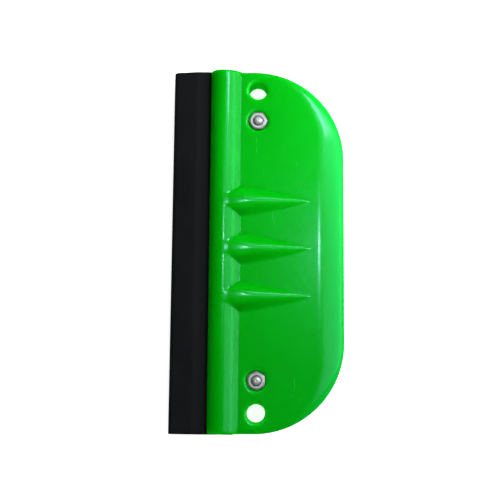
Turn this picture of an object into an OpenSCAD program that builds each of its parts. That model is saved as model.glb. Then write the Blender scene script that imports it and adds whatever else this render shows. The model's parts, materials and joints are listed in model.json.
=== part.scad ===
// Squeegee applicator: a black rubber blade clamped in the channel of a two-part plastic handle.
// The two handle shells are the same moulding; the rear one is turned over about the X axis.
// X runs from the blade to the back of the handle, Y along the blade, Z through the thickness.
// The origin is on the floor under the centre of the whole tool, which lies with its nuts up.

/* [Handle] */
// Length of the handle along the blade
handle_l = 152.4; // [140:0.2:170]
// Depth of the handle from the lip that holds the blade to the back edge
handle_d = 56.4; // [52:0.2:64]
// Radius of the two back corners in plan
corner_r = 37.6; // [30:0.2:44]
// Thickness of the flat plate
plate_t = 12; // [11.6:0.2:14]
// Rounding of the plate's rim
rim_r = 2.4; // [1.5:0.1:3]
// Width of the sloping band along the back edge
band_w = 9.2; // [6:0.2:12]
// How far the band drops towards the back edge
band_drop = 1.8; // [0.4:0.1:2.2]

/* [Bead that holds the blade] */
// Thickness over the bead
bead_t = 18.2; // [17:0.2:20]
// Radius of the bead's outer flank, from the lip up to the crest
bead_r = 5; // [4.6:0.2:5.6]
// Radius of its inner flank, from the crest down to the plate
flank_r = 10; // [9.6:0.2:14]

/* [Finger ribs] */
// Number of finger ribs
rib_count = 3; // [1:1:3]
// Distance between the ribs
rib_pitch = 20; // [18:1:22]
// Width of a rib where it leaves the bead, at the plate's face
rib_w = 11.4; // [9:0.2:12]
// Distance from the lip to where a rib starts to taper
rib_x = 12.7; // [12.4:0.1:16]
// Distance from the lip to the tip of a rib
rib_tip_x = 41.7; // [36:0.1:44]

/* [Rubber blade] */
// Length of the rubber blade
blade_l = 153; // [140:1:171]
// Thickness of the rubber blade
blade_t = 7.2; // [6.4:0.2:7.6]
// How far the rubber stands out of the handle
blade_out = 16; // [12:0.2:20]
// How far the rubber reaches into the handle
blade_in = 10.4; // [9:0.2:10.8]
// Length of the flat before the bevel starts
blade_flat = 6.5; // [4:0.5:8]
// Radius of the rubber's working edge
edge_r = 2.2; // [1.5:0.1:2.8]
// Width of the grooves that lock the rubber in its channel
groove_w = 2.6; // [2:0.2:3]
// Depth of those grooves
groove_deep = 1; // [0.6:0.1:1.2]

/* [Clamping bolts and nuts] */
// Distance from the lip to the bolts
bolt_x = 20; // [18:0.5:24]
// Distance from the handle's end to the nearer bolt
bolt_end = 21.6; // [20:0.1:26]
// Diameter of the bolt's thread
bolt_d = 4; // [4:0.5:4.5]
// Length of the bolt below its head
bolt_l = 10; // [9:0.5:11]
// Diameter of the bolt's pan head
head_d = 8; // [7:0.2:8]
// Height of the bolt's pan head
head_h = 2.8; // [2.2:0.1:3]
// Width of the nut across its flats
nut_w = 7; // [6.5:0.1:7]
// Height of the nut
nut_h = 3.2; // [2.6:0.1:3.4]
// Diameter of the round recesses that hold the heads and the nuts
recess_d = 8.5; // [8.4:0.1:9]
// Depth of those recesses
recess_deep = 3.2; // [2.4:0.1:3.2]
// Width of the softened rim round each recess
recess_rim = 0.95; // [0.4:0.05:1.2]

/* [Hanging holes] */
// Diameter of the hanging holes
hole_d = 7.6; // [6:0.2:8]
// Distance from the handle's end to the nearer hanging hole
hole_end = 8.3; // [8:0.1:9]
// Distance from the lip to the hanging holes
hole_x = 20; // [18:0.5:24]
// Softened rim of the hanging holes
hole_rim = 0.8; // [0.4:0.1:1]

/* [Hidden] */
$fn = 64;
plate_h = plate_t / 2;
bead_h = bead_t / 2;
mid_x = (handle_d - blade_out) / 2;
bolt_y = handle_l / 2 - bolt_end;
hole_y = handle_l / 2 - hole_end;
// A rib is a round cone whose axis is sunk below the plate's face, almost as high as the bead
rib_sunk = 0.12;
rib_rise = bead_h - rib_sunk - plate_h;
rib_r = (pow(rib_w / 2, 2) + pow(rib_rise, 2)) / (2 * rib_rise);
rib_z = bead_h - rib_sunk - rib_r;
rib_tip_r = plate_h - rib_z;
groove_x = 4;
slide_gap = 0.1;
seat_gap = 0.05;
thread_gap = 0.05;
bolt_gap = 0.1;
seat_z = plate_h - recess_deep;
peg_x = 44;
peg_y = 34;
peg_d = 5;
peg_h = 3;
cross_w = 1.1;
cross_l = 4.4;
cross_deep = 1.7;
far = 200;

// Angle on the circle of radius r about c at which a line from p touches it; side is 1 or -1
function touch_angle(p, c, r, side) =
    let (v = p - c)
    atan2(v[1], v[0]) + side * acos(r / norm(v));

// Points along an arc, both ends included
function arc(c, r, from, to, steps) =
    [for (i = [0 : steps]) let (a = from + (to - from) * i / steps) c + r * [cos(a), sin(a)]];

// Moves what is drawn about the parting plane and the lip to where the tool lies at rest
module at_rest() {
    translate([-mid_x, 0, bead_h]) children();
}

// Repeats what is drawn at one end of the handle at the other end too
module both_ends() {
    children();
    mirror([0, 1, 0]) children();
}

// Plan of the plate, drawn inwards by a margin: square at the lip and round at the back corners
module plan(margin) {
    back = handle_d - corner_r;
    half_l = handle_l / 2;
    both_ends() {
        translate([0, -1]) square([handle_d - margin, half_l - corner_r + 1]);
        square([back, half_l - margin]);
        translate([back, half_l - corner_r]) intersection() {
            circle(corner_r - margin);
            translate([-1, -1]) square(corner_r + 1);
        }
    }
}

// Half of the plate, with its rim rounded round the back and both ends
module plate_half() {
    back = handle_d - corner_r;
    half_l = handle_l / 2;
    rim_z = plate_h - rim_r;
    linear_extrude(rim_z) plan(0);
    linear_extrude(plate_h) plan(rim_r);
    translate([handle_d - rim_r, corner_r - half_l, rim_z])
        rotate([-90, 0, 0]) cylinder(r = rim_r, h = handle_l - 2 * corner_r);
    both_ends() {
        translate([0, half_l - rim_r, rim_z]) rotate([0, 90, 0]) cylinder(r = rim_r, h = back);
        translate([back, half_l - corner_r, rim_z])
            rotate_extrude(angle = 90) translate([corner_r - rim_r, 0]) circle(rim_r);
    }
}

// Slab that planes the sloping band down towards the back edge
module band_cut() {
    translate([handle_d - band_w, -far / 2, plate_h])
        rotate([0, atan(band_drop / band_w), 0]) cube([far, far, plate_h]);
}

// Half of the bead: a tight outer flank and a wider inner one, which share the crest
module bead_half() {
    outer = [bead_r, bead_h - bead_r];
    inner = [bead_r, bead_h - flank_r];
    foot_angle = asin((plate_h - inner[1]) / flank_r);
    flanks = concat(arc(outer, bead_r, 180, 90, 16), arc(inner, flank_r, 90, foot_angle, 12));
    foot_x = inner[0] + flank_r * cos(foot_angle);
    rotate([90, 0, 0]) linear_extrude(handle_l, center = true)
        polygon(concat([[0, 0]], flanks, [[foot_x, 0]]));
}

// One finger rib: it leaves the bead just below its crest and tapers to nothing towards the back
module rib() {
    straight = rib_x - bead_r;
    translate([bead_r, 0, rib_z]) rotate([0, 90, 0]) {
        cylinder(r = rib_r, h = straight);
        translate([0, 0, straight]) cylinder(r1 = rib_r, r2 = rib_tip_r, h = rib_tip_x - rib_x);
    }
}

module ribs() {
    intersection() {
        for (i = [0 : rib_count - 1]) {
            translate([0, (i - (rib_count - 1) / 2) * rib_pitch, 0]) rib();
        }
        translate([0, -far / 2, 0]) cube([far, far, far]);
    }
}

// Room for the root of the rubber, with a rib that enters the rubber's groove
module blade_channel() {
    deep = blade_t / 2 + slide_gap;
    translate([-1, -far / 2, -1]) cube([groove_x + slide_gap + 1, far, deep + 1]);
    translate([-1, -far / 2, -1]) cube([blade_in + slide_gap + 1, far, deep - groove_deep + 1]);
    translate([groove_x + groove_w - slide_gap, -far / 2, -1])
        cube([blade_in - groove_x - groove_w + 2 * slide_gap, far, deep + 1]);
}

// A bolt's hole and the round recess for its head or nut, with a softened rim
module bolt_hole() {
    translate([bolt_x, bolt_y, 0]) {
        translate([0, 0, -1]) cylinder(r = bolt_d / 2 + bolt_gap, h = plate_t);
        translate([0, 0, seat_z]) cylinder(d = recess_d, h = plate_t);
        translate([0, 0, plate_h - recess_rim])
            cylinder(d1 = recess_d, d2 = recess_d + 4 * recess_rim, h = 2 * recess_rim);
    }
}

module hanging_hole() {
    translate([hole_x, hole_y, 0]) {
        translate([0, 0, -1]) cylinder(d = hole_d, h = plate_t);
        translate([0, 0, plate_h - hole_rim])
            cylinder(d1 = hole_d, d2 = hole_d + 4 * hole_rim, h = 2 * hole_rim);
    }
}

// One moulding of the handle: its peg at one end fits the other moulding's socket
module half_shell() {
    difference() {
        union() {
            difference() {
                plate_half();
                band_cut();
            }
            bead_half();
            ribs();
        }
        blade_channel();
        both_ends() {
            bolt_hole();
            hanging_hole();
        }
        translate([peg_x, -peg_y, -1]) cylinder(r = peg_d / 2 + slide_gap, h = peg_h + 1 + slide_gap);
    }
    translate([peg_x, peg_y, -peg_h]) cylinder(d = peg_d, h = peg_h + 1);
}

module front_shell() {
    color("limegreen") at_rest() half_shell();
}

module rear_shell() {
    color("limegreen") at_rest() rotate([180, 0, 0]) half_shell();
}

// The rubber: a root locked by a groove on each side, a flat, and bevels to a round working edge
module rubber_blade() {
    half_t = blade_t / 2;
    shoulder = [-blade_flat, half_t];
    nose = [edge_r - blade_out, 0];
    starts = touch_angle(shoulder, nose, edge_r, 1);
    root = [
        [groove_x, half_t],
        [groove_x, half_t - groove_deep],
        [groove_x + groove_w, half_t - groove_deep],
        [groove_x + groove_w, half_t],
        [blade_in, half_t]
    ];
    upper = concat(arc(nose, edge_r, 180, starts, 10), [shoulder], root);
    lower = [for (i = [len(upper) - 1 : -1 : 1]) [upper[i][0], -upper[i][1]]];
    color("#1b1c1f") at_rest() rotate([90, 0, 0]) linear_extrude(blade_l, center = true)
        polygon(concat(upper, lower));
}

// Pan-head bolt with a cross recess; its head is in the rear shell and its round end is up
module bolt() {
    dome_r = head_d;
    end_r = bolt_d * 0.8;
    color("silver") at_rest() translate([bolt_x, 0, -seat_z - seat_gap]) {
        intersection() {
            cylinder(d = bolt_d, h = bolt_l);
            translate([0, 0, bolt_l - end_r]) {
                sphere(end_r);
                translate([0, 0, -far]) cylinder(d = far, h = far);
            }
        }
        difference() {
            intersection() {
                translate([0, 0, -head_h]) cylinder(d = head_d, h = head_h);
                translate([0, 0, dome_r - head_h]) sphere(dome_r);
            }
            for (turn = [0, 90]) {
                rotate([0, 0, turn]) translate([-cross_l / 2, -cross_w / 2, -head_h - 1])
                    cube([cross_l, cross_w, cross_deep + 1]);
            }
        }
    }
}

// Cone that chamfers one end of a nut at 30 degrees
module nut_cone() {
    cylinder(d1 = nut_w - 0.2, d2 = nut_w - 0.2 + 2 * nut_h / tan(30), h = nut_h);
}

// Hexagon nut with both ends chamfered, turned to the angle at which it was left
module nut(turn) {
    color("silver") at_rest() translate([bolt_x, 0, seat_z + seat_gap]) rotate([0, 0, turn]) difference() {
        intersection() {
            cylinder(d = nut_w / cos(30), h = nut_h, $fn = 6);
            nut_cone();
            translate([0, 0, nut_h]) mirror([0, 0, 1]) nut_cone();
        }
        translate([0, 0, -1]) cylinder(r = bolt_d / 2 + thread_gap, h = nut_h + 2);
    }
}

module upper_bolt() {
    translate([0, bolt_y, 0]) bolt();
}

module lower_bolt() {
    translate([0, -bolt_y, 0]) bolt();
}

module upper_nut() {
    translate([0, bolt_y, 0]) nut(30);
}

module lower_nut() {
    translate([0, -bolt_y, 0]) nut(0);
}

front_shell();
rear_shell();
rubber_blade();
upper_bolt();
lower_bolt();
upper_nut();
lower_nut();
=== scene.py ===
"""Squeegee applicator: the moulded handle, rubber blade, bolts and nuts, built round the frame."""

import json
import math

import bmesh
import bpy
import numpy as np
from mathutils import Matrix, Vector
from mathutils.geometry import delaunay_2d_cdt


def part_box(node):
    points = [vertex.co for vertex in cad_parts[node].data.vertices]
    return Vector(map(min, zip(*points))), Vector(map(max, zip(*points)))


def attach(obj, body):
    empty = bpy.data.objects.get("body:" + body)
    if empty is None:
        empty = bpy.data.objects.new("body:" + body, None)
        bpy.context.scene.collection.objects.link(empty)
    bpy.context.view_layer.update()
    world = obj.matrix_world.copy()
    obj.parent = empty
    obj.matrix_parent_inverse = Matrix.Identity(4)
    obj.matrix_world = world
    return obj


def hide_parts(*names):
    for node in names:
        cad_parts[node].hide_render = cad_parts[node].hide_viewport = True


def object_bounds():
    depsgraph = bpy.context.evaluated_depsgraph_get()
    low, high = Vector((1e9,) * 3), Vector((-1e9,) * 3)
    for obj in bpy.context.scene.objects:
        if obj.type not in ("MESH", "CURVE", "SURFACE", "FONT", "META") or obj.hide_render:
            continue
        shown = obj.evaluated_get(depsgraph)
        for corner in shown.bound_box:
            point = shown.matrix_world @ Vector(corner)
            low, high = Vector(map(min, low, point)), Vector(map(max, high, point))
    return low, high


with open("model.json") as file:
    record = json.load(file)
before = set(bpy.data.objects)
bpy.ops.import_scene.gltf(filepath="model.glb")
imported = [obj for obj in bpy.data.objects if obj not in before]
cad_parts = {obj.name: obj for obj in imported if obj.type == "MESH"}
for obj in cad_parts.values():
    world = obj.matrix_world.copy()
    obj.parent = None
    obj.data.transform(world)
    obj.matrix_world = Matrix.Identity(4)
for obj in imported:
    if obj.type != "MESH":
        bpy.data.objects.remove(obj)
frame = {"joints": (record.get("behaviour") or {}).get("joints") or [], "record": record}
CAD_LOW, CAD_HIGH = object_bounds()

# Places that the frame gives, in metres
MM = 0.001
SHELL_LOW, SHELL_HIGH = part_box("front_shell")
PARTING_Z = (CAD_LOW[2] + CAD_HIGH[2]) / 2
JOINT_AT = {j["name"]: Vector(j["pos_m"]) for j in frame["joints"] if "pos_m" in j}
HANGING_HOLES = [m for m in frame["record"]["mounts"] if m["kind"] == "bore"]

# The handle's face in millimetres: x from the lip, z from the parting plane
DEPTH = (SHELL_HIGH.x - SHELL_LOW.x) / MM
HALF_L = SHELL_HIGH.y / MM
PLATE_H = 6
CORNER_R = 37.6
LIP_R = 1.0
RIM_R = 2.4
SHARP_ANGLE = 32

# The bead along the lip: its height, crest, inner flank, ends and foot
BEAD_H = (CAD_HIGH[2] - PARTING_Z) / MM
BEAD_R = 5
FLANK_R = 10
BEAD_END_R = 1.0
BEAD_FOOT_X = 13.4
FOOT_SOFT = 0.45

# The band round the back, which slopes down from a crease
CREASE_IN = 9.2
CREASE_R = 31.5
CREASE_SOFT = 0.45
BAND_DROP = 1.8
BAND_SLOPE = BAND_DROP / CREASE_IN

# The finger ribs: from a round nose on the bead they narrow and sink to a tip in the plate
RIB_YS = (-20, 0, 20)
RIB_X = 12.7
RIB_TIP_X = 41.7
RIB_HALF_W = 5.8
RIB_TIP_HALF_W = 0.4
RIB_NARROW = 0.8
RIB_FALL = 1.2
RIB_ROUND = 2.2
RIB_SUNK = 0.12
RIB_UNDER = 0.05
RIB_SKIRT = 12
RIB_SOFT = 1.9
RIB_TIP_SOFT = 0.1
RIB_TURN_SOFT = 6
RIB_NOSE_X = 18
RIB_NOSE_L = 6
RIB_NOSE_ROUND = 1.0
RIB_START_SLOPE = 2
RIB_TIP_SLOPE = 0.6

# Holes, nut recesses, seam, peg and socket, and the channel's section
HOLE_R = HANGING_HOLES[0]["dims"]["r_mm"]
HOLE_FILLET = 1.3
RECESS_R = 4.25
RECESS_FILLET = 1.1
SEAT_Z = 2.8
BOLT_HOLE_R = 2.1
SEAM_IN = 0.22
SEAM_H = 0.28
PEG = (44, 34)
PEG_R = 2.5
PEG_H = 3
PEG_CHAMFER = 0.4
SOCKET_R = 2.6
SOCKET_DEEP = 3.1
CHANNEL = ((-2, -2), (10.5, -2), (10.5, 3.7), (6.5, 3.7), (6.5, 2.7), (4.1, 2.7), (4.1, 3.7), (-2, 3.7))

# The face's mesh: how its points are spaced
ROW_STEP = 0.4
COLUMN_STEP = 0.6
CREASE_STEP = 0.35
BAND_STEP = 0.8
RIB_ZONE = 29
RING_POINTS = 64
RIM_STEPS = (0.04, 0.15, 0.32, 0.6, 1.0, 1.5, 2.0, RIM_R)
CREASE_HALF_W = 1.6
CLEAR = 0.35

# The plastic's looks: painted light that brightens the green where the wall is thin near the back, and a
# painted glow at the rims
# painted light: below these heights and towards the back the green is painted brighter
THICK = 5.95
THIN = 4.6
PAINTED_LIGHT_FROM_X = 30
PAINTED_LIGHT_TO_X = 44
# painted glow: emission strengths that stand in for highlights on the hanging hole's rim and the recess
# rims
HOLE_PAINTED_GLOW = 1.6
RIM_PAINTED_GLOW = 0.09

# The rubber's section, in millimetres
RUBBER_HALF_T = 3.6
RUBBER_FLAT = 6.5
RUBBER_OUT = 16
RUBBER_IN = 10.4
RUBBER_EDGE_R = 2.2
RUBBER_ROOT_CHAMFER = 0.4
GROOVE = (4, 6.6)
GROOVE_DEEP = 1
RUBBER_SOFT = 0.35
RUBBER_END_SHRINK = 0.7

# Bolts and nuts, in millimetres
PITCH = 0.7
THREAD_DEEP = 0.38
TURN_ROWS = 9
BOLT_R = 2
BOLT_END_R = 3.2
BOLT_MARK_R = 1.1
HEAD_R = 4
HEAD_H = 2.8
HEAD_DOME_R = 8
HEAD_EDGE_R = 0.4
CROSS = 4.4
CROSS_W = 1.1
CROSS_DEEP = 1.7
NUT_FLATS = 7
NUT_FACE_R = 3.1
NUT_BORE_R = 2.05
NUT_BORE_CHAMFER = 0.25
NUT_CHAMFER_ANGLE = 30
NUT_TURNS = {"upper_nut": 30, "lower_nut": 0}


def smooth_max(a, b, k):
    """The larger of two heights, with the corner between them filled over k."""
    share = np.clip(0.5 + 0.5 * (a - b) / k, 0, 1)
    return b * (1 - share) + a * share + k * share * (1 - share)


def smooth_min(a, b, k):
    """The smaller of two heights, with the corner between them rounded over k."""
    return -smooth_max(-a, -b, k)


def round_drop(distance, radius):
    """How far a rounded edge has fallen at a distance inside it."""
    gap = radius - np.clip(distance, 0, radius)
    return radius - np.sqrt(radius**2 - gap**2)


def edge_distance(x, y):
    """How far a place in plan lies inside the outline; the straight lip doesn't count."""
    y = np.abs(y)
    back, side = DEPTH - CORNER_R, HALF_L - CORNER_R
    corner = CORNER_R - np.hypot(x - back, y - side)
    inside = np.where((x > back) & (y > side), corner, np.minimum(DEPTH - x, HALF_L - y))
    lip = LIP_R - np.hypot(x - LIP_R, y - HALF_L + LIP_R)
    return np.where((x < LIP_R) & (y > HALF_L - LIP_R), lip, inside)


def crease_distance(x, y):
    """How far a place lies outside the crease where the back band starts to slope."""
    y = np.abs(y)
    cx, cy = DEPTH - CREASE_IN - CREASE_R, HALF_L - CREASE_R
    straight = x - (DEPTH - CREASE_IN)
    turned = np.hypot(x - cx, y - cy) - CREASE_R
    return np.where(y < cy, straight, np.where(x < cx, y - HALF_L, turned))


def rib_height(x, y):
    """A finger rib's height, y from its middle, and how widely it blends into the plate."""
    past_start = smooth_max(x - RIB_X, np.zeros_like(x), RIB_TURN_SOFT)
    along = np.clip(past_start / (RIB_TIP_X - RIB_X), 0, 1)
    rise = (BEAD_H - RIB_SUNK - PLATE_H) * (1 - along) ** RIB_FALL
    half_w = np.maximum(RIB_HALF_W * (1 - along) ** RIB_NARROW, RIB_TIP_HALF_W)
    nose = RIB_NOSE_ROUND * np.clip((RIB_NOSE_X - x) / RIB_NOSE_L, 0, 1)
    across = np.clip(np.abs(y) / half_w, 0, RIB_SKIRT) ** (RIB_ROUND + nose)
    back = PLATE_H + (rise + RIB_UNDER) * (1 - across) - RIB_UNDER
    back = back - RIB_START_SLOPE * np.clip(BEAD_R - x, 0, None)
    back = back - RIB_TIP_SLOPE * np.clip(x - RIB_TIP_X, 0, None)
    return back, RIB_TIP_SOFT + (RIB_SOFT - RIB_TIP_SOFT) * (1 - along)


def rims():
    """Centre, edge radius and fillet of each hole in the top face."""
    for mount in HANGING_HOLES:
        x, y, _ = mount["pos_m"]
        yield (x - SHELL_LOW.x) / MM, y / MM, mount["dims"]["r_mm"], HOLE_FILLET
    for at in JOINT_AT.values():
        yield (at.x - SHELL_LOW.x) / MM, at.y / MM, RECESS_R, RECESS_FILLET


def top_height(x, y):
    """Height of the handle's face above the parting plane."""
    band = PLATE_H - BAND_SLOPE * crease_distance(x, y)
    plate = smooth_min(np.full_like(x, PLATE_H), band, CREASE_SOFT)
    plate = plate - round_drop(edge_distance(x, y), RIM_R)
    outer = BEAD_H - BEAD_R + np.sqrt(np.clip(BEAD_R**2 - (x - BEAD_R) ** 2, 0, None))
    inner = BEAD_H - FLANK_R + np.sqrt(np.clip(FLANK_R**2 - (x - BEAD_R) ** 2, 0, None))
    bead = np.where(x < BEAD_R, outer, inner) - round_drop(HALF_L - np.abs(y), BEAD_END_R)
    face = plate
    for rib_y in RIB_YS:
        face = smooth_max(face, *rib_height(x, y - rib_y))
    face = smooth_max(face, bead, FOOT_SOFT)
    for cx, cy, r, fillet in rims():
        face = face - round_drop(np.hypot(x - cx, y - cy) - r, fillet)
    return face


def outline(inset):
    """The plan's outline moved inwards, once round, with the same number of points for any inset."""
    turn = np.radians(np.linspace(180, 90, 7))
    lip_r = max(LIP_R - inset, 0)
    lip = np.c_[LIP_R + lip_r * np.cos(turn), HALF_L - LIP_R + lip_r * np.sin(turn)]
    xs = [x for x in bead_columns() if x > LIP_R]
    xs += list(np.linspace(BEAD_FOOT_X + 0.2, DEPTH - CORNER_R, 6))[:-1]
    end = np.c_[xs, np.full(len(xs), HALF_L - inset)]
    turn = np.radians(np.linspace(90, 0, 53))
    r = CORNER_R - inset
    corner = np.c_[DEPTH - CORNER_R + r * np.cos(turn), HALF_L - CORNER_R + r * np.sin(turn)]
    ys = np.linspace(HALF_L - CORNER_R, 0, 33)[1:]
    back = np.c_[np.full(len(ys), DEPTH - inset), ys]
    half = np.vstack([lip, end, corner, back])
    return np.vstack([half, (half * (1, -1))[-2::-1]])


def ring(cx, cy, r):
    """Points on a circle in plan."""
    turn = np.linspace(0, 2 * math.pi, RING_POINTS, endpoint=False)
    return np.c_[cx + r * np.cos(turn), cy + r * np.sin(turn)]


def bead_columns():
    """Places across the bead: close together where its flank is steep."""
    outer = BEAD_R * (1 - np.cos(np.radians(np.linspace(0, 90, 13))))
    return list(outer) + list(np.arange(BEAD_R + 0.45, BEAD_FOOT_X, 0.4))


def grid_rows():
    """Places along the handle: close together among the ribs and at the ends."""
    fine = list(np.arange(0, RIB_ZONE, ROW_STEP))
    coarse = list(np.linspace(RIB_ZONE, HALF_L - RIM_R, 34))
    half = fine + coarse + [HALF_L - d for d in RIM_STEPS if d >= LIP_R]
    return sorted(set(half + [-y for y in half]))


def face_points():
    """Inner points of the face: a grid, and rings that follow the rim, the holes and the crease."""
    crease_x = DEPTH - CREASE_IN
    columns = bead_columns() + list(np.arange(BEAD_FOOT_X + 0.4, crease_x - 3, COLUMN_STEP))
    columns += list(np.arange(crease_x - 2.6, crease_x + 1.4, CREASE_STEP))
    columns += list(np.arange(crease_x + 2, DEPTH, BAND_STEP))
    x, y = (a.ravel() for a in np.meshgrid(columns, grid_rows()))
    cx, cy = crease_x - CREASE_R, HALF_L - CREASE_R
    near_crease = (np.abs(y) > cy) & (np.abs(crease_distance(x, y)) < CREASE_HALF_W + 0.3) & (x > cx)
    inside = (edge_distance(x, y) > RIM_R + CLEAR) | ((x < LIP_R) & (np.abs(y) <= HALF_L - LIP_R))
    keep = inside & ~near_crease
    for hx, hy, r, fillet in rims():
        keep &= np.hypot(x - hx, y - hy) > r + fillet + CLEAR
    families = [np.c_[x, y][keep]]
    turn = np.radians(np.linspace(1.5, 89, 46))
    for offset in np.linspace(-CREASE_HALF_W, CREASE_HALF_W, 9):
        r = CREASE_R + offset
        for side in (1, -1):
            arc = np.c_[cx + r * np.cos(turn), side * (cy + r * np.sin(turn))]
            families.append(arc[edge_distance(*arc.T) > RIM_R + CLEAR])
    for step in RIM_STEPS:
        families.append(outline(step))
    for hx, hy, r, fillet in rims():
        for angle in range(12, 91, 13):
            families.append(ring(hx, hy, r + fillet * (1 - math.cos(math.radians(angle)))))
    return np.vstack(families)


def triangles(loops, inner, holes):
    """Points, triangles outside the holes, each loop's indices and the indices that triangles use."""
    points = np.vstack(loops + [inner])
    edges, starts, start = [], [], 0
    for loop in loops:
        edges += [(start + i, start + (i + 1) % len(loop)) for i in range(len(loop))]
        starts.append(start)
        start += len(loop)
    found = delaunay_2d_cdt([Vector(p) for p in points], edges, [], 0, 1e-5)
    coords, faces, sources = found[0], found[2], found[3]
    new_index = {source: i for i, ids in enumerate(sources) for source in ids}
    flat = math.cos(math.pi / RING_POINTS)
    kept = []
    for face in faces:
        middle = sum((coords[i] for i in face), Vector((0, 0))) / 3
        if all((middle - Vector((cx, cy))).length > r * flat for cx, cy, r in holes):
            kept.append(tuple(face))
    used = {i for face in kept for i in face}
    indices = [[new_index[start + i] for i in range(len(loop))] for start, loop in zip(starts, loops)]
    return np.array([tuple(c) for c in coords]), kept, indices, used


def add_ring(bm, points, z):
    """Adds vertices over points in plan, at one height or at a height for each."""
    zs = np.broadcast_to(z, len(points))
    return [bm.verts.new((p[0], p[1], h)) for p, h in zip(points, zs)]


def strip(bm, a, b):
    """Joins two closed rings of vertices with quads."""
    for i in range(len(a)):
        j = (i + 1) % len(a)
        bm.faces.new((a[i], a[j], b[j], b[i]))


def add_skin(bm, loops, inner, holes, height):
    """Adds a triangulated face at a height that depends on the place; gives its loops' vertices."""
    coords, faces, indices, used = triangles(loops, inner, holes)
    zs = height(coords[:, 0], coords[:, 1])
    verts = {i: bm.verts.new((*coords[i], zs[i])) for i in used}
    for face in faces:
        bm.faces.new([verts[i] for i in face])
    return [[verts[i] for i in loop] for loop in indices]


def smooth_shade(mesh, sharp):
    """Shades a mesh smooth but for edges sharper than an angle in degrees."""
    mesh.shade_smooth()
    mesh.set_sharp_from_angle(angle=math.radians(sharp))


def finished_mesh(name, bm, sharp=SHARP_ANGLE):
    """A mesh from a bmesh, with its normals outwards and its shading smooth."""
    bmesh.ops.remove_doubles(bm, verts=bm.verts, dist=1e-5)
    bmesh.ops.recalc_face_normals(bm, faces=bm.faces)
    mesh = bpy.data.meshes.new(name)
    bm.to_mesh(mesh)
    bm.free()
    smooth_shade(mesh, sharp)
    return mesh


def add_object(name, data):
    """Puts a mesh, a light or a camera in the scene."""
    piece = bpy.data.objects.new(name, data)
    bpy.context.scene.collection.objects.link(piece)
    return piece


def prism(name, section, half_l):
    """A straight prism along y with a section in x and z."""
    bm = bmesh.new()
    ends = [[bm.verts.new((x, y, z)) for x, z in section] for y in (-half_l, half_l)]
    strip(bm, *ends)
    for end in ends:
        bm.faces.new(end)
    return add_object(name, finished_mesh(name, bm))


def cut(mesh, cutter):
    """The mesh less the cutter object, which is removed."""
    body = add_object("being_cut", mesh)
    modifier = body.modifiers.new("cut", "BOOLEAN")
    modifier.operation = "DIFFERENCE"
    modifier.solver = "EXACT"
    modifier.object = cutter
    bpy.context.view_layer.update()
    done = bpy.data.meshes.new_from_object(body.evaluated_get(bpy.context.evaluated_depsgraph_get()))
    bpy.data.objects.remove(body)
    bpy.data.objects.remove(cutter)
    return done


def half_shell_mesh():
    """One moulding of the handle in millimetres: x from the lip, z from the parting plane."""
    bm = bmesh.new()
    holes = list(rims())
    loops = [outline(0)] + [ring(x, y, r) for x, y, r, _ in holes]
    edges = add_skin(bm, loops, face_points(), [hole[:3] for hole in holes], top_height)
    seam = add_ring(bm, outline(0), SEAM_H)
    strip(bm, edges[0], seam)
    bottom_loops, bottom_holes = [outline(SEAM_IN)], []
    bottom_starts = [seam]
    for (x, y, r, _), edge in zip(holes, edges[1:]):
        if r == RECESS_R:
            floor = add_ring(bm, ring(x, y, r), SEAT_Z)
            strip(bm, edge, floor)
            edge, r = add_ring(bm, ring(x, y, BOLT_HOLE_R), SEAT_Z), BOLT_HOLE_R
            strip(bm, floor, edge)
        neck = add_ring(bm, ring(x, y, r), SEAM_H)
        strip(bm, edge, neck)
        bottom_loops.append(ring(x, y, r + SEAM_IN))
        bottom_holes.append((x, y, r + SEAM_IN))
        bottom_starts.append(neck)
    for side, r in ((1, PEG_R), (-1, SOCKET_R)):
        x, y = PEG[0], side * PEG[1]
        depth = SOCKET_DEEP if side < 0 else -PEG_H
        bottom_loops.append(ring(x, y, r))
        bottom_holes.append((x, y, r))
        walls = [(r, depth + PEG_CHAMFER * side), (r - PEG_CHAMFER, depth)]
        rings = [add_ring(bm, ring(x, y, wall_r), z) for wall_r, z in walls]
        strip(bm, *rings)
        bm.faces.new(rings[-1])
        bottom_starts.append(rings[0])
    flat = add_skin(bm, bottom_loops, np.zeros((0, 2)), bottom_holes, lambda x, y: np.zeros_like(x))
    for start, loop in zip(bottom_starts, flat):
        strip(bm, start, loop)
    return cut(finished_mesh("half_shell", bm), prism("channel", CHANNEL, HALF_L + 4))


def to_frame(turned=False):
    """From the handle's millimetres to the frame; the rear shell is turned over about X."""
    turn = Matrix.Rotation(math.pi, 4, "X") if turned else Matrix.Identity(4)
    return Matrix.Translation((SHELL_LOW.x, 0, PARTING_Z)) @ turn @ Matrix.Scale(MM, 4)


def make_shells(material):
    """The same moulding twice: the front shell, and the rear shell turned over."""
    mesh = half_shell_mesh()
    for end, turned in (("front", False), ("rear", True)):
        own = mesh.copy()
        own.transform(to_frame(turned))
        smooth_shade(own, SHARP_ANGLE)
        place(end + "_moulding", own, end + "_shell", "handle", material)
    bpy.data.meshes.remove(mesh)


def place(name, mesh, node, body, material):
    """Shows a mesh in place of a CAD node, riding on its body."""
    mesh.name = name
    mesh.materials.clear()
    mesh.materials.append(material)
    piece = add_object(name, mesh)
    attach(piece, body)
    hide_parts(node)
    return piece


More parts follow.
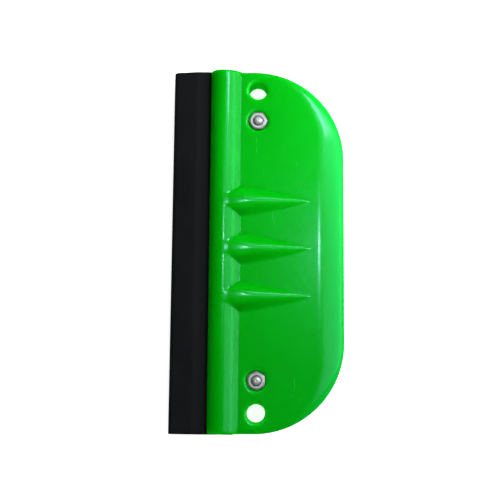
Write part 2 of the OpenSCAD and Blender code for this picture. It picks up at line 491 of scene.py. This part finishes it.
def rubber_section():
    """Half of the rubber's section above the parting plane, from the working edge to the root."""
    nose_x = RUBBER_EDGE_R - RUBBER_OUT
    run, rise = nose_x + RUBBER_FLAT, RUBBER_HALF_T
    lean = math.atan2(rise, -run)
    touch = lean + math.acos(RUBBER_EDGE_R / math.hypot(run, rise))
    points = []
    for i in range(11):
        turn = math.pi + (touch - math.pi) * i / 10
        points.append((nose_x + RUBBER_EDGE_R * math.cos(turn), RUBBER_EDGE_R * math.sin(turn)))
    end = points[-1]
    for i in range(1, 8):
        points.append((end[0] + (-RUBBER_FLAT - end[0]) * i / 8, end[1] + (rise - end[1]) * i / 8))
    points += [(-RUBBER_FLAT - 0.5, rise - 0.13), (-RUBBER_FLAT, rise - 0.03), (-RUBBER_FLAT + 0.5, rise)]
    points += [(-RUBBER_FLAT + 1.2 + i, rise) for i in range(5)]
    low = rise - GROOVE_DEEP
    points += [(GROOVE[0], rise), (GROOVE[0], low), (GROOVE[1], low), (GROOVE[1], rise)]
    points += [(RUBBER_IN - RUBBER_ROOT_CHAMFER, rise), (RUBBER_IN, rise - RUBBER_ROOT_CHAMFER)]
    return points


def make_rubber(material):
    """The rubber blade, with slightly rounded ends; its groove stays clear of the channel's rib."""
    low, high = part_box("rubber_blade")
    half_l = (high.y - low.y) / 2 / MM
    upper = rubber_section()
    section = upper + [(x, -z) for x, z in reversed(upper) if z > 1e-6]
    bm = bmesh.new()
    ends = (half_l, half_l - 0.08, half_l - 0.25)
    rows = [-y for y in ends] + list(np.linspace(-half_l + 2, half_l - 2, 60)) + list(reversed(ends))
    rings = []
    for y in rows:
        shrink = RUBBER_END_SHRINK * float(round_drop(half_l - abs(y), RUBBER_SOFT))
        thinner, shorter = 1 - shrink / RUBBER_HALF_T, 1 - shrink / RUBBER_OUT
        rings.append([bm.verts.new((x * shorter if x < 0 else x, y, z * thinner)) for x, z in section])
    for a, b in zip(rings, rings[1:]):
        strip(bm, a, b)
    for end in (rings[0], rings[-1]):
        bm.faces.new(end)
    mesh = finished_mesh("rubber", bm, 28)
    mesh.transform(to_frame())
    place("rubber_strip", mesh, "rubber_blade", "blade", material)


def thread_radius(outer, turn, z):
    """Radius of a helical thread's surface, with flattened crests."""
    phase = (z / PITCH - turn / (2 * math.pi)) % 1
    return outer - THREAD_DEEP * np.clip(1.25 * abs(2 * phase - 1) - 0.12, 0, 1)


def lathe(bm, rows, count=48):
    """Skins rows of (radius, height), where a radius may be a function of the angle; gives its rings."""
    rings = []
    for radius, z in rows:
        verts = []
        for i in range(count):
            turn = 2 * math.pi * i / count
            r = radius(turn) if callable(radius) else radius
            verts.append(bm.verts.new((r * math.cos(turn), r * math.sin(turn), z)))
        rings.append(verts)
    for a, b in zip(rings, rings[1:]):
        strip(bm, a, b)
    return rings


def bolt_rows(length):
    """Rows of the bolt from the middle of its head's dome to its domed end with a centre mark."""
    rows = []
    for i in range(13):
        r = 0.05 + (HEAD_R - HEAD_EDGE_R - 0.05) * i / 12
        rows.append((r, HEAD_DOME_R - HEAD_H - math.sqrt(HEAD_DOME_R**2 - r**2)))
    edge_z = rows[-1][1]
    for angle in (25, 50, 75, 90):
        a = math.radians(angle)
        rows.append((HEAD_R - HEAD_EDGE_R * (1 - math.sin(a)), edge_z + 0.55 * (1 - math.cos(a))))
    rows += [(HEAD_R, -0.15), (HEAD_R - 0.15, 0), (BOLT_R + 0.1, 0)]
    steps = int(length / PITCH * TURN_ROWS)
    for i in range(1, steps):
        z = length * i / steps
        dome = math.sqrt(max(BOLT_END_R**2 - max(z - length + BOLT_END_R, 0) ** 2, 0))
        if dome > BOLT_MARK_R:
            rows.append((lambda turn, z=z, dome=dome: min(thread_radius(BOLT_R, turn, z), dome), z))
    for r, dip in ((0.9, 0), (0.6, 0), (0.45, 0.03), (0.3, 0.12), (0.05, 0.16)):
        rows.append((r, length - BOLT_END_R + math.sqrt(BOLT_END_R**2 - r**2) - dip))
    return rows


def cross_cutter(bottom):
    """A tapered cross that cuts the driver recess into a head."""
    bm = bmesh.new()
    rings = []
    for z, grow in ((bottom - 1, 1.25), (bottom + CROSS_DEEP, 0.55)):
        reach, half_w = CROSS / 2 * grow, CROSS_W / 2 * (0.6 + 0.4 * grow)
        arm = ((half_w, half_w), (reach, half_w), (reach, -half_w))
        turns = [Matrix.Rotation(-math.pi / 2 * i, 2) for i in range(4)]
        corners = [turn @ Vector(c) for turn in turns for c in arm]
        rings.append([bm.verts.new((*c, z)) for c in corners])
    strip(bm, *rings)
    for end in rings:
        bm.faces.new(end)
    return add_object("cross", finished_mesh("cross", bm))


def make_bolt(node, joint, material):
    """A pan-head bolt; its head is down and its thread runs up through the nut."""
    low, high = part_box(node)
    length = (high.z - low.z) / MM - HEAD_H
    bm = bmesh.new()
    rings = lathe(bm, bolt_rows(length))
    for end in (rings[0], rings[-1]):
        bm.faces.new(end)
    mesh = cut(finished_mesh(node, bm), cross_cutter(-HEAD_H))
    at = JOINT_AT[joint]
    mesh.transform(Matrix.Translation((at.x, at.y, low.z + HEAD_H * MM)) @ Matrix.Scale(MM, 4))
    smooth_shade(mesh, 30)
    place(node + "_threaded", mesh, node, node, material)


def nut_rows(height):
    """Rows of a hexagon nut, round the outside from its lower bore edge to its upper one."""
    def hexagon(turn):
        return NUT_FLATS / 2 / math.cos((turn + math.pi / 6) % (math.pi / 3) - math.pi / 6)

    def side(z):
        cone = NUT_FACE_R + min(z, height - z) / math.tan(math.radians(NUT_CHAMFER_ANGLE))
        return lambda turn: min(hexagon(turn), cone)

    chamfer = [0.02, 0.06, 0.11, 0.17, 0.23, 0.29, 0.35, 0.4]
    zs = [0] + chamfer + [height / 2] + [height - z for z in reversed(chamfer)] + [height]
    mouth_r = NUT_BORE_R + NUT_BORE_CHAMFER
    outside = [(mouth_r, 0)] + [(side(z), z) for z in zs] + [(mouth_r, height)]
    return outside + [(NUT_BORE_R, height - NUT_BORE_CHAMFER)], [(NUT_BORE_R, NUT_BORE_CHAMFER)]


def make_nut(node, joint, turn, material):
    """A hexagon nut, turned about its bolt by an angle in degrees."""
    low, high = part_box(node)
    outside, bore = nut_rows((high.z - low.z) / MM)
    bm = bmesh.new()
    rings = lathe(bm, outside, 96)
    last = lathe(bm, bore, 96)[0]
    strip(bm, rings[-1], last)
    strip(bm, last, rings[0])
    mesh = finished_mesh(node, bm, 26)
    at = JOINT_AT[joint]
    spin = Matrix.Rotation(math.radians(turn), 4, "Z")
    mesh.transform(Matrix.Translation((at.x, at.y, low.z)) @ spin @ Matrix.Scale(MM, 4))
    place(node + "_chamfered", mesh, node, node, material)


def new_material(name):
    """A material, its shader and its coordinates, with helpers that add a node and link the shader."""
    material = bpy.data.materials.new(name)
    material["slot"] = name
    material.use_nodes = True
    tree = material.node_tree
    shader = next(n for n in tree.nodes if n.type == "BSDF_PRINCIPLED")
    coords = tree.nodes.new("ShaderNodeTexCoord").outputs["Object"]

    def add(kind, inputs=None, **settings):
        node = tree.nodes.new(kind)
        for key, value in settings.items():
            setattr(node, key, value)
        for key, value in (inputs or {}).items():
            if isinstance(value, bpy.types.NodeSocket):
                tree.links.new(value, node.inputs[key])
            else:
                node.inputs[key].default_value = value
        return node

    def link(output, name):
        tree.links.new(output, shader.inputs[name])

    return material, shader, coords, add, link


def noise(add, coords, scale, detail=3, roughness=0.55):
    inputs = {"Vector": coords, "Scale": scale, "Detail": detail, "Roughness": roughness}
    return add("ShaderNodeTexNoise", inputs).outputs["Fac"]


def spread(add, value, low, high, to_low=0.0, to_high=1.0):
    """Maps a range of a value onto another, clamped."""
    node = add("ShaderNodeMapRange", {"Value": value, "From Min": low, "From Max": high})
    node.inputs["To Min"].default_value = to_low
    node.inputs["To Max"].default_value = to_high
    return node.outputs["Result"]


def times(add, a, b):
    return add("ShaderNodeMath", {0: a, 1: b}, operation="MULTIPLY").outputs[0]


def plus(add, a, b):
    return add("ShaderNodeMath", {0: a, 1: b}, operation="ADD").outputs[0]


def size_of(add, value):
    return add("ShaderNodeMath", {0: value}, operation="ABSOLUTE").outputs[0]


def mixed(add, share, first, second):
    """A mix of two colours, each one a colour or another node's output."""
    return add("ShaderNodeMix", {0: share, 6: first, 7: second}, data_type="RGBA").outputs[2]


def scratches(add, coords, angle, scale, limit):
    """Fine straight scratches in one direction, in patches."""
    inputs = {"Vector": coords, "Rotation": (0, 0, math.radians(angle)), "Scale": (1, 0.045, 1)}
    turned = add("ShaderNodeMapping", inputs)
    lines = noise(add, turned.outputs["Vector"], scale, 1, 0.4)
    patches = noise(add, coords, 95, 2)
    return times(add, spread(add, lines, limit, limit + 0.02), spread(add, patches, 0.5, 0.62))


def painted_glow_near_rim(add, plan, at, r, fillet):
    """Mask for a painted glow at a rim: 1 at the wall of a hole, fading to 0 outside its fillet; the plan
    is folded about its middle.
    """
    centre = (at[0], abs(at[1]), 0)
    distance = add("ShaderNodeVectorMath", {0: plan, 1: centre}, operation="DISTANCE").outputs["Value"]
    return spread(add, distance, (r + fillet) * MM, (r + 0.3 * fillet) * MM)


def green_plastic():
    """Glossy translucent moulded plastic with a faint haze and fine scratches, painted light that
    brightens the thin back edge, and a painted glow at the hole and recess rims.
    """
    material, shader, coords, add, link = new_material("green_plastic")
    cloudy = noise(add, coords, 45, 3)
    grain = noise(add, coords, 900, 4)
    marks = plus(add, scratches(add, coords, 62, 1900, 0.75), scratches(add, coords, 12, 2300, 0.76))
    haze = spread(add, cloudy, 0.3, 0.7)
    base = mixed(add, haze, (0.001, 0.445, 0.003, 1), (0.001, 0.485, 0.006, 1))
    x, y, z = add("ShaderNodeSeparateXYZ", {0: coords}).outputs
    # painted light: a brighter green where the face lies low near the back edge, standing in for light
    # shining through the thin plastic
    thin = spread(add, size_of(add, plus(add, z, -PARTING_Z)), THICK * MM, THIN * MM)
    rear = spread(add, x, SHELL_LOW.x + PAINTED_LIGHT_FROM_X * MM, SHELL_LOW.x + PAINTED_LIGHT_TO_X * MM)
    base = mixed(add, times(add, thin, rear), base, (0.004, 0.570, 0.050, 1))
    folded = add("ShaderNodeCombineXYZ", {0: x, 1: size_of(add, y)}).outputs[0]
    # painted glow: emission round the hanging holes and the nut recesses stands in for highlights on
    # their rounded rims
    hole_painted_glow = painted_glow_near_rim(add, folded, HANGING_HOLES[0]["pos_m"], HOLE_R, HOLE_FILLET)
    recess_painted_glow = painted_glow_near_rim(add, folded, JOINT_AT["upper_bolt_turn"], RECESS_R, RECESS_FILLET)
    painted_rim_glow = plus(add, times(add, hole_painted_glow, HOLE_PAINTED_GLOW), recess_painted_glow)
    shader.inputs["Emission Color"].default_value = (0.01, 1.0, 0.03, 1)
    link(times(add, painted_rim_glow, RIM_PAINTED_GLOW), "Emission Strength")
    link(mixed(add, times(add, marks, 0.15), base, (0.25, 0.75, 0.40, 1)), "Base Color")
    rough = plus(add, spread(add, grain, 0.35, 0.7, 0.14, 0.21), times(add, marks, 0.2))
    link(rough, "Roughness")
    height = plus(add, times(add, grain, 0.5), times(add, marks, -0.6))
    bump = add("ShaderNodeBump", {"Height": height, "Strength": 0.12, "Distance": 0.00002})
    link(bump.outputs["Normal"], "Normal")
    shader.inputs["IOR"].default_value = 1.49
    shader.inputs["Specular IOR Level"].default_value = 0.6
    shader.inputs["Specular Tint"].default_value = (0.30, 0.88, 1.0, 1)
    shader.inputs["Coat Weight"].default_value = 0.15
    shader.inputs["Coat Roughness"].default_value = 0.1
    shader.inputs["Subsurface Weight"].default_value = 1
    shader.inputs["Subsurface Radius"].default_value = (0.3, 1.0, 0.35)
    shader.inputs["Subsurface Scale"].default_value = 0.006
    return material


def black_rubber():
    """Matte cast rubber: fine grain, soft cloudy sheen and a few specks of dust."""
    material, shader, coords, add, link = new_material("black_rubber")
    cloudy = noise(add, coords, 60, 3)
    grain = noise(add, coords, 2600, 3)
    dust = spread(add, noise(add, coords, 1400, 1), 0.80, 0.84)
    sheen = spread(add, cloudy, 0.35, 0.7)
    base = mixed(add, sheen, (0.0056, 0.0060, 0.0072, 1), (0.0082, 0.0090, 0.0096, 1))
    link(mixed(add, times(add, dust, 0.5), base, (0.10, 0.10, 0.10, 1)), "Base Color")
    link(spread(add, cloudy, 0.3, 0.7, 0.58, 0.72), "Roughness")
    bump = add("ShaderNodeBump", {"Height": grain, "Strength": 0.35, "Distance": 0.00004})
    link(bump.outputs["Normal"], "Normal")
    shader.inputs["Specular IOR Level"].default_value = 0.3
    return material


def zinc_steel():
    """Bright zinc plating with fine turning marks and slight dulling, with painted shade: slopes that
    turn away from straight up are painted darker.
    """
    material, shader, coords, add, link = new_material("zinc_steel")
    dull = noise(add, coords, 500, 3)
    grain = noise(add, coords, 6000, 2)
    dulling = spread(add, dull, 0.35, 0.65)
    base = mixed(add, dulling, (0.80, 0.81, 0.84, 1), (0.92, 0.92, 0.95, 1))
    # painted light and shade: faces that point up get the bright zinc colour, and slopes such as chamfers
    # get a dark grey
    normal = add("ShaderNodeNewGeometry").outputs["Normal"]
    painted_light_by_facing = size_of(add, add("ShaderNodeSeparateXYZ", {0: normal}).outputs[2])
    link(mixed(add, spread(add, painted_light_by_facing, 0.80, 0.95), (0.34, 0.35, 0.37, 1), base), "Base Color")
    link(spread(add, dull, 0.3, 0.7, 0.24, 0.38), "Roughness")
    bump = add("ShaderNodeBump", {"Height": grain, "Strength": 0.3, "Distance": 0.00002})
    link(bump.outputs["Normal"], "Normal")
    shader.inputs["Metallic"].default_value = 0.65
    return material


def make_floor():
    """A plain pale floor just under the tool; glossy surfaces don't show it."""
    bm = bmesh.new()
    corners = ((-1.5, -1.5), (1.5, -1.5), (1.5, 1.5), (-1.5, 1.5))
    bm.faces.new([bm.verts.new((x, y, 0)) for x, y in corners])
    floor = add_object("floor", finished_mesh("floor", bm))
    floor.location.z = CAD_LOW[2] - 0.2 * MM
    material, shader, coords, add, link = new_material("pale_floor")
    shade = spread(add, noise(add, coords, 8, 2), 0.3, 0.7, 0.90, 0.93)
    grey = add("ShaderNodeCombineColor", {0: shade, 1: shade, 2: shade})
    link(grey.outputs[0], "Base Color")
    shader.inputs["Roughness"].default_value = 0.9
    shader.inputs["Emission Color"].default_value = (1, 1, 1, 1)
    shader.inputs["Emission Strength"].default_value = 0.85
    floor.data.materials.append(material)
    floor.visible_glossy = False


def area_light(name, direction, distance, size, power, colour=(1, 1, 1), mirrored=True):
    """A soft light that looks at the origin from a direction; unmirrored, it shows in no reflection."""
    light = bpy.data.lights.new(name, "AREA")
    light.shape = "RECTANGLE"
    light.size, light.size_y = size
    light.energy = power
    light.color = colour
    lamp = add_object(name, light)
    lamp.location = Vector(direction).normalized() * distance
    lamp.rotation_euler = Vector(direction).to_track_quat("Z", "Y").to_euler()
    lamp.visible_glossy = mirrored
    lamp.visible_camera = False


def make_light():
    """A pale surround that only the camera sees, a banded window, side lights and small highlights."""
    world = bpy.data.worlds.new("studio")
    world.use_nodes = True
    back = world.node_tree.nodes["Background"]
    back.inputs["Color"].default_value = (0.93, 0.97, 1.0, 1)
    back.inputs["Strength"].default_value = 0.95
    bpy.context.scene.world = world
    world.cycles_visibility.diffuse = False
    world.cycles_visibility.glossy = False
    daylight = (0.93, 0.98, 1.0)
    for reach in (0.62, 0.54, 0.46):
        area_light("window", (0.80, 0.20, 1.0), 0.75, (0.60, reach), 1.1, daylight)
    area_light("low_window", (1.60, 0.25, 0.75), 0.70, (0.60, 0.42), 0.7, daylight)
    area_light("near_side", (0.08, 0.08, 0.09), 0.145, (0.08, 0.08), 0.155, mirrored=False)
    area_light("soft_side", (0.45, 0.80, 1.0), 1.0, (0.9, 0.9), 2.2, mirrored=False)
    area_light("soft_fill", (0.10, -0.60, 1.0), 1.0, (0.9, 0.9), 2.5, mirrored=False)
    area_light("corner_glow", (0.395, 0.50, 1.0), 0.9, (0.22, 0.08), 0.8)
    area_light("ceiling_lamp", (0.158, 0.147, 1.0), 1.4, (0.035, 0.04), 0.7)


def make_camera():
    """The camera looks almost straight down on the tool from over its lower end."""
    camera = bpy.data.cameras.new("camera")
    camera.sensor_width = 36
    camera.lens = 69.73
    seen = add_object("camera", camera)
    tilt, yaw, roll = (math.radians(a) for a in (8.06, 0.03, 0.50))
    turn = Matrix.Rotation(tilt, 4, "X") @ Matrix.Rotation(yaw, 4, "Y") @ Matrix.Rotation(roll, 4, "Z")
    at = Vector((SHELL_LOW.x + 17.2 * MM, -57.2 * MM, PARTING_Z + 404.2 * MM))
    seen.matrix_world = Matrix.Translation(at) @ turn
    bpy.context.scene.camera = seen


bpy.context.scene.view_settings.view_transform = "Standard"
make_camera()
make_light()
make_floor()
GREEN, BLACK, ZINC = green_plastic(), black_rubber(), zinc_steel()
make_shells(GREEN)
make_rubber(BLACK)
for side in ("upper", "lower"):
    make_bolt(side + "_bolt", side + "_bolt_turn", ZINC)
for side in ("upper", "lower"):
    make_nut(side + "_nut", side + "_bolt_turn", NUT_TURNS[side + "_nut"], ZINC)
